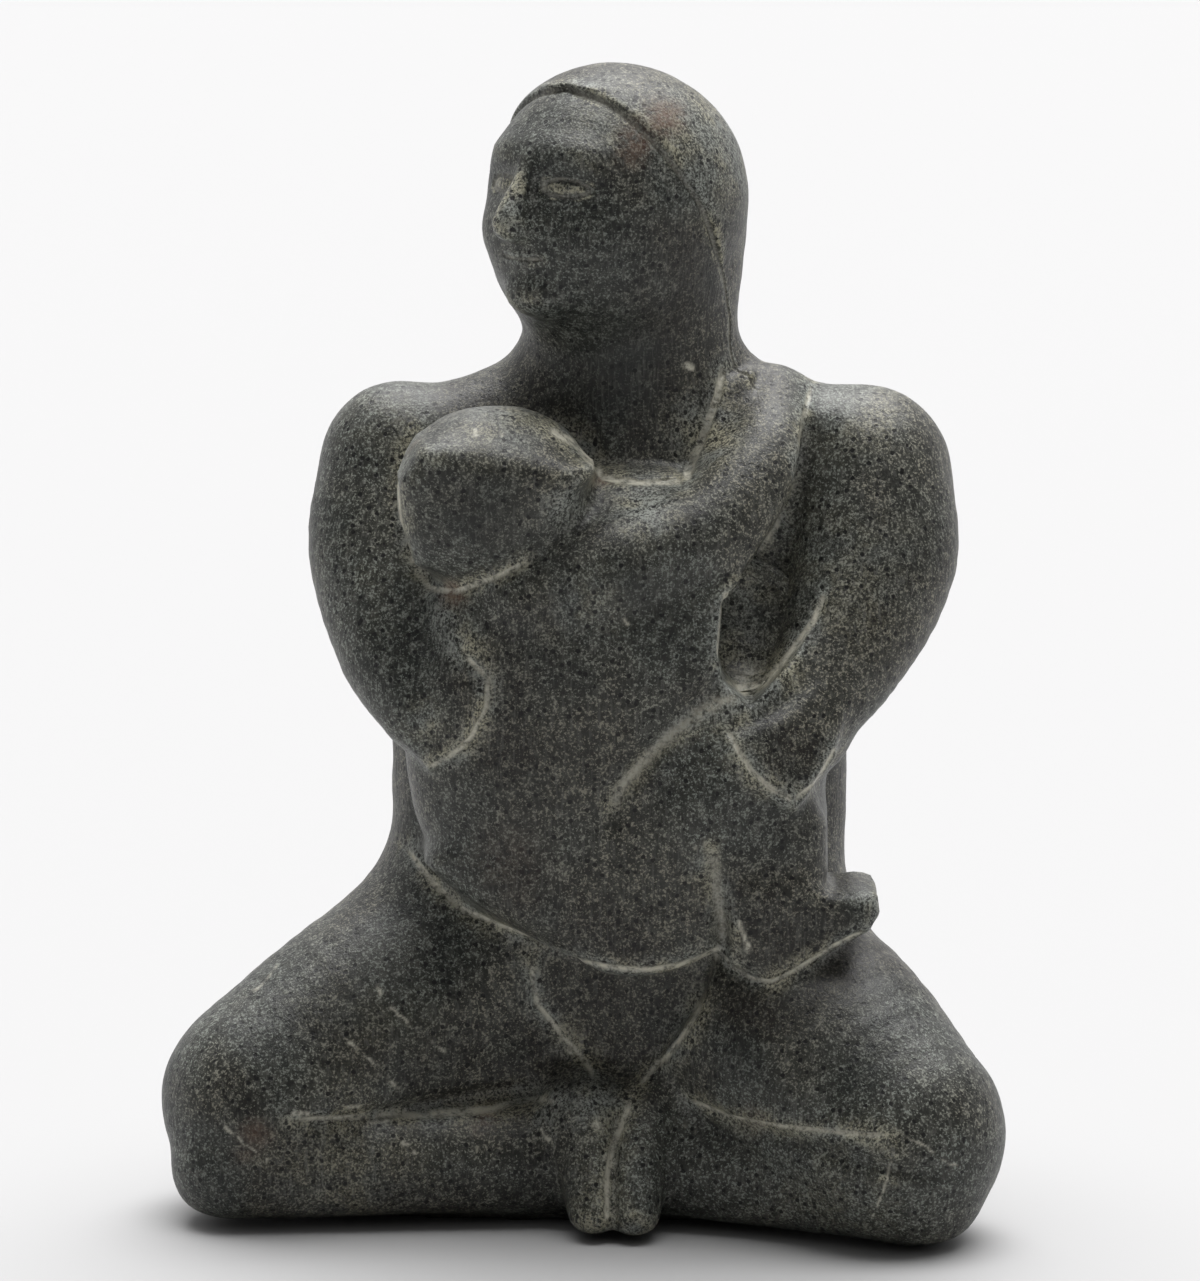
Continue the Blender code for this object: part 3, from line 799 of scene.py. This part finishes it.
# What each place is marked with, for the stone's material to read.
wobble = 1.8 * ripple(points, 6, 0.2)
breaks = smooth_step(-0.35, 0.2, ripple(points, 7, 0.55))
line_off, line_cut = line_distance(points, INCISED)
haze_reach = HAZE_REACH * (1 + 0.5 * ripple(points, 30, 0.9))
marks = {
    "dust": line_cut / 1.5 + face_distance(points)[1] / 5,
    "haze": (1 - smooth_step(0, haze_reach, line_off)) ** 1.5,
    "vein": line_distance(points + wobble[:, None] * (1, 0, 1), VEINS)[1] * breaks,
    # pale also paints highlight on the head's top, the hair, the shoulders and the sides, besides the
    # tooling's paleness.
    "pale": patch(points, PALE_AND_LIT),
    # dark is painted shade in the recesses, under the heads and on shaded fronts.
    "dark": patch(points + 12 * ripple(points, 34, 0.4)[:, None], PAINTED_SHADE),
    "rust": patch(points + 9 * ripple(points, 20, 0.7)[:, None], RUST),
}

points[points[:, 2] < UNDERSIDE, 2] = 0
low, high = points.min(0), points.max(0)
inner = points
points = (points - low) / (high - low) * (node_high - node_low) + node_low
mesh = bpy.data.meshes.new("carved_stone")
mesh.from_pydata(points, [], faces)
mesh.polygons.foreach_set("use_smooth", np.ones(len(mesh.polygons), bool))
mesh.update()
normals = np.empty(len(mesh.vertices) * 3, np.float32)
mesh.vertex_normals.foreach_get("vector", normals)
normals = normals.reshape(-1, 3).astype(float)
# How sharply each place stands out from its neighbours, for the wear along edges.
SHARP_BEND = (0.006, 0.03)
lengths = np.linalg.norm(inner[edges[:, 0]] - inner[edges[:, 1]], axis=1)
spacing = np.bincount(edges.ravel(), np.repeat(lengths, 2), len(points)) / degree[:, 0]
bend = -((neighbour_mean(inner, edges, degree) - inner) * normals).sum(1) / spacing**2
for _ in range(3):  # smoothed
    bend = neighbour_mean(bend[:, None], edges, degree)[:, 0]
marks["worn"] = smooth_step(*SHARP_BEND, bend)
marks["hollow"] = smooth_step(*SHARP_BEND, -bend)
for name, values in marks.items():
    values = np.clip(values, 0, 1).astype(np.float32)
    mesh.attributes.new(name, "FLOAT", "POINT").data.foreach_set("value", values)
stone = bpy.data.objects.new("carved_stone", mesh)
bpy.context.scene.collection.objects.link(stone)


class Tree:
    """Makes shader nodes by name and links them."""

    def __init__(self, tree):
        self.tree = tree

    def add(self, kind, inputs=(), **settings):
        node = self.tree.nodes.new(kind)
        for key, value in settings.items():
            setattr(node, key, value)
        for name, value in dict(inputs).items():
            socket = node.inputs[name]
            if isinstance(value, bpy.types.NodeSocket):
                self.tree.links.new(value, socket)
            else:
                socket.default_value = value
        return node

    def noise(self, where, scale, detail, rough=0.55):
        made = self.add(
            "ShaderNodeTexNoise",
            {"Vector": where, "Scale": scale, "Detail": detail, "Roughness": rough},
        )
        return made.outputs["Fac"]

    def math(self, operation, a, b):
        return self.add("ShaderNodeMath", {0: a, 1: b}, operation=operation).outputs[0]

    def plus(self, a, b):
        return self.math("ADD", a, b)

    def times(self, a, b):
        return self.math("MULTIPLY", a, b)

    def most(self, a, b):
        return self.math("MAXIMUM", a, b)

    def ramp(self, value, low, high, to_low=0.0, to_high=1.0):
        made = self.add(
            "ShaderNodeMapRange",
            {"Value": value, "From Min": low, "From Max": high, "To Min": to_low, "To Max": to_high},
            interpolation_type="SMOOTHSTEP",
        )
        return made.outputs[0]

    def mix(self, factor, a, b):
        made = self.add("ShaderNodeMix", data_type="RGBA")
        for index, value in ((0, factor), (6, a), (7, b)):
            if isinstance(value, bpy.types.NodeSocket):
                self.tree.links.new(value, made.inputs[index])
            else:
                made.inputs[index].default_value = value
        return made.outputs[2]


# The stone's colours.
BROWN_BLACK = (0.0150, 0.0135, 0.0110, 1)
GREEN_BLACK = (0.0135, 0.0155, 0.0135, 1)
CLOUD_GREY = (0.030, 0.0305, 0.026, 1)
MOTTLE_GREY = (0.072, 0.073, 0.062, 1)
WARM_FLECK = (0.270, 0.255, 0.200, 1)
GREEN_FLECK = (0.235, 0.255, 0.225, 1)
RASP_GREY = (0.240, 0.240, 0.215, 1)
# Rubbed colours, which also paint the highlight on the tops and sides.
COOL_RUB_AND_HIGHLIGHT = (0.34, 0.36, 0.325, 1)
WARM_RUB_AND_HIGHLIGHT = (0.47, 0.45, 0.33, 1)
SPECK_BLACK = (0.005, 0.005, 0.005, 1)
RUST_BROWN = (0.125, 0.070, 0.045, 1)
CHALK = (0.60, 0.58, 0.48, 1)
HOLLOW_GREY = (0.26, 0.26, 0.235, 1)
# About how many lumps of each pattern there are to a metre.
CLOUDS = 26
TINTS = 17
GRAINS = 1250
MOTTLES = 330
SPECKS = 400.0
SPECK_EDGES = 1300
RUBBED_PATCHES = 420
RUB_TINTS = 60
LINE_BREAKS = 300
# The two ways that the rasp was drawn: its turn in radians and its marks to a metre.
RASPED = [((0.0, 0.5, 0.2), 1000), ((0.3, -0.9, 0.0), 900)]
RASP_STRETCH = (1, 1, 0.11)
REFRACTION = 1.5
SPECULAR_LEVEL = 0.30
SMOOTHEST, ROUGHEST = 0.36, 0.52
BUMP_STRENGTH = 0.5
BUMP_DEPTH = 0.0005


def dark_stone():
    """Dark green-grey stone: grains, black specks and rasp marks, pale in its cuts and worn edges, with
    painted highlight on its tops and sides and painted shade in its recesses.
    """
    found = bpy.data.materials.new("dark_stone")
    found.use_nodes = True
    shader = found.node_tree.nodes["Principled BSDF"]
    t = Tree(found.node_tree)
    where = t.add("ShaderNodeTexCoord").outputs["Object"]
    mark = {name: t.add("ShaderNodeAttribute", attribute_name=name).outputs["Fac"] for name in marks}

    def rasp(turn, fine):
        """Streaks of a rasp drawn one way over the stone."""
        turned = t.add("ShaderNodeMapping", {"Vector": where, "Rotation": turn, "Scale": RASP_STRETCH})
        return t.noise(turned.outputs["Vector"], fine, 2, 0.6)

    # The patterns.
    cloudy = t.noise(where, CLOUDS, 4, 0.6)
    tint = t.noise(where, TINTS, 3, 0.55)
    grain = t.noise(where, GRAINS, 2, 0.7)
    mottle = t.noise(where, MOTTLES, 4, 0.75)
    one_way, other_way = (rasp(turn, fine) for turn, fine in RASPED)
    drawn = t.mix(t.ramp(t.noise(where, CLOUDS, 2), 0.42, 0.58), one_way, other_way)
    drawn = t.add("ShaderNodeRGBToBW", {"Color": drawn}).outputs[0]
    specks = t.add("ShaderNodeTexVoronoi", {"Vector": where, "Scale": SPECKS})
    picked = t.add("ShaderNodeSeparateColor", {"Color": specks.outputs["Color"]}).outputs[0]
    blotch = t.plus(specks.outputs["Distance"], t.times(t.noise(where, SPECK_EDGES, 2), 0.34))
    black = t.times(t.ramp(blotch, 0.52, 0.42), t.ramp(picked, 0.62, 0.66))
    # The pale mark brings painted highlight on the tops and sides in here, besides the tooling's paleness.
    worn = t.most(t.times(mark["worn"], 0.7), mark["pale"])
    rubbed_and_lit = t.most(worn, t.times(mark["haze"], 0.7))
    patchy = t.plus(grain, t.times(t.noise(where, RUBBED_PATCHES, 4, 0.75), 0.7))
    patchy = t.ramp(patchy, 0.72, 0.98)

    # The stone itself, from its ground to its flecks.
    base = t.mix(t.ramp(tint, 0.40, 0.60), BROWN_BLACK, GREEN_BLACK)
    base = t.mix(t.ramp(cloudy, 0.36, 0.64), base, CLOUD_GREY)
    # Painted shade: the dark mark takes mottle grey and flecks away, darkening the recesses and shaded
    # fronts.
    richness_less_shade = t.math("SUBTRACT", t.ramp(cloudy, 0.32, 0.66, 0.55, 1.0), t.times(mark["dark"], 0.5))
    base = t.mix(t.times(t.ramp(mottle, 0.42, 0.64), richness_less_shade), base, MOTTLE_GREY)
    flecks = t.ramp(t.plus(grain, t.times(mottle, 0.45)), 0.75, 0.87)
    fleck_colour = t.mix(t.ramp(tint, 0.42, 0.58), WARM_FLECK, GREEN_FLECK)
    base = t.mix(t.times(flecks, richness_less_shade), base, fleck_colour)

    # What tools, hands and time have left on it, and painted highlight where the pale mark lies on the tops
    # and sides.
    streaks = t.times(t.ramp(drawn, 0.52, 0.66), t.plus(t.times(rubbed_and_lit, 0.6), 0.16))
    base = t.mix(streaks, base, RASP_GREY)
    rub_and_highlight_colour = t.mix(t.ramp(t.noise(where, RUB_TINTS, 2), 0.42, 0.58), COOL_RUB_AND_HIGHLIGHT, WARM_RUB_AND_HIGHLIGHT)
    base = t.mix(t.times(t.times(rubbed_and_lit, patchy), 0.9), base, rub_and_highlight_colour)
    base = t.mix(t.times(black, 0.92), base, SPECK_BLACK)
    base = t.mix(t.times(mark["rust"], t.ramp(mottle, 0.3, 0.6)), base, RUST_BROWN)
    broken = t.ramp(t.noise(where, LINE_BREAKS, 3, 0.7), 0.34, 0.58, 0.15, 1.0)
    chalky = t.most(t.times(mark["dust"], broken), t.times(mark["vein"], broken))
    base = t.mix(chalky, base, CHALK)
    base = t.mix(t.times(t.times(mark["hollow"], patchy), 0.35), base, HOLLOW_GREY)

    rough = t.ramp(t.plus(grain, t.times(drawn, 0.5)), 0.55, 0.95, SMOOTHEST, ROUGHEST)
    relief = t.plus(t.times(grain, 0.6), t.times(drawn, 0.9))
    relief = t.math("SUBTRACT", relief, t.times(black, 0.35))
    bump = t.add(
        "ShaderNodeBump",
        {"Strength": BUMP_STRENGTH, "Distance": BUMP_DEPTH, "Height": relief},
    )
    shader.inputs["IOR"].default_value = REFRACTION
    shader.inputs["Specular IOR Level"].default_value = SPECULAR_LEVEL
    found.node_tree.links.new(base, shader.inputs["Base Color"])
    found.node_tree.links.new(rough, shader.inputs["Roughness"])
    found.node_tree.links.new(bump.outputs["Normal"], shader.inputs["Normal"])
    return found


stone.data.materials.append(dark_stone())
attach(stone, "root")
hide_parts(NODE)

# The studio: a pale floor in a white room, lit by the world alone.
FLOOR_RADIUS = 9.0
FLOOR_SIDES = 96
FLOOR_COLOUR = (0.42, 0.42, 0.42, 1)
FLOOR_ROUGHNESS = 0.9
floor_mesh = bpy.data.meshes.new("floor")
bm = bmesh.new()
bmesh.ops.create_circle(bm, cap_ends=True, segments=FLOOR_SIDES, radius=FLOOR_RADIUS)
bm.to_mesh(floor_mesh)
bm.free()
floor = bpy.data.objects.new("floor", floor_mesh)
bpy.context.scene.collection.objects.link(floor)
pale = bpy.data.materials.new("pale_floor")
pale.use_nodes = True
pale_shader = pale.node_tree.nodes["Principled BSDF"]
pale_shader.inputs["Base Color"].default_value = FLOOR_COLOUR
pale_shader.inputs["Roughness"].default_value = FLOOR_ROUGHNESS
floor_mesh.materials.append(pale)

# The camera: the photograph's rows, how many of them a thousandth of the height takes, and that height.
PHOTO_ROWS = 1281
ROWS_PER_UNIT = 1.144
STONE_HEIGHT = 0.36
ELEVATION = math.radians(10)
CAMERA_DISTANCE = 1.8
CAMERA_AIM = (14.86, 0, 497)
SENSOR = 36
FRAME_HEIGHT = PHOTO_ROWS / ROWS_PER_UNIT * STONE_HEIGHT / 1000
focus = Vector(to_row(CAMERA_AIM))
back = Vector((0, -math.cos(ELEVATION), math.sin(ELEVATION)))
camera = bpy.data.objects.new("camera", bpy.data.cameras.new("camera"))
bpy.context.scene.collection.objects.link(camera)
camera.location = focus + back * CAMERA_DISTANCE
camera.rotation_euler = (-back).to_track_quat("-Z", "Y").to_euler()
camera.data.sensor_width = SENSOR
camera.data.lens = SENSOR * CAMERA_DISTANCE / FRAME_HEIGHT
bpy.context.scene.camera = camera


# The light. Each ramp gives where it starts and ends, and the strengths there.
WALLS = (-0.30, 0.75, 0.06, 0.93)
CEILING = (0.3, 0.9, 0.0, 0.2)
KEY_WAY = Vector((0.08, 0.27, 0.93)).normalized()
KEY = (0.78, 0.96, 0.0, 7.0)
ROOM_COLOUR = (1, 0.995, 1, 1)


def studio_sky():
    """A white room with a broad soft light overhead, dark only behind the camera."""
    world = bpy.data.worlds.new("studio")
    world.use_nodes = True
    sky = Tree(world.node_tree)
    way = sky.add("ShaderNodeTexCoord").outputs["Generated"]
    along = sky.add("ShaderNodeSeparateXYZ", {"Vector": way}).outputs
    walls = sky.ramp(along["Y"], *WALLS)
    ceiling = sky.ramp(along["Z"], *CEILING)
    toward_key = sky.add("ShaderNodeVectorMath", {0: way, 1: KEY_WAY}, operation="DOT_PRODUCT")
    key = sky.ramp(toward_key.outputs["Value"], *KEY)
    strength = sky.plus(sky.plus(walls, ceiling), key)
    backdrop = world.node_tree.nodes["Background"]
    backdrop.inputs["Color"].default_value = ROOM_COLOUR
    world.node_tree.links.new(strength, backdrop.inputs["Strength"])
    return world


bpy.context.scene.world = studio_sky()
bpy.context.scene.view_settings.view_transform = "Standard"
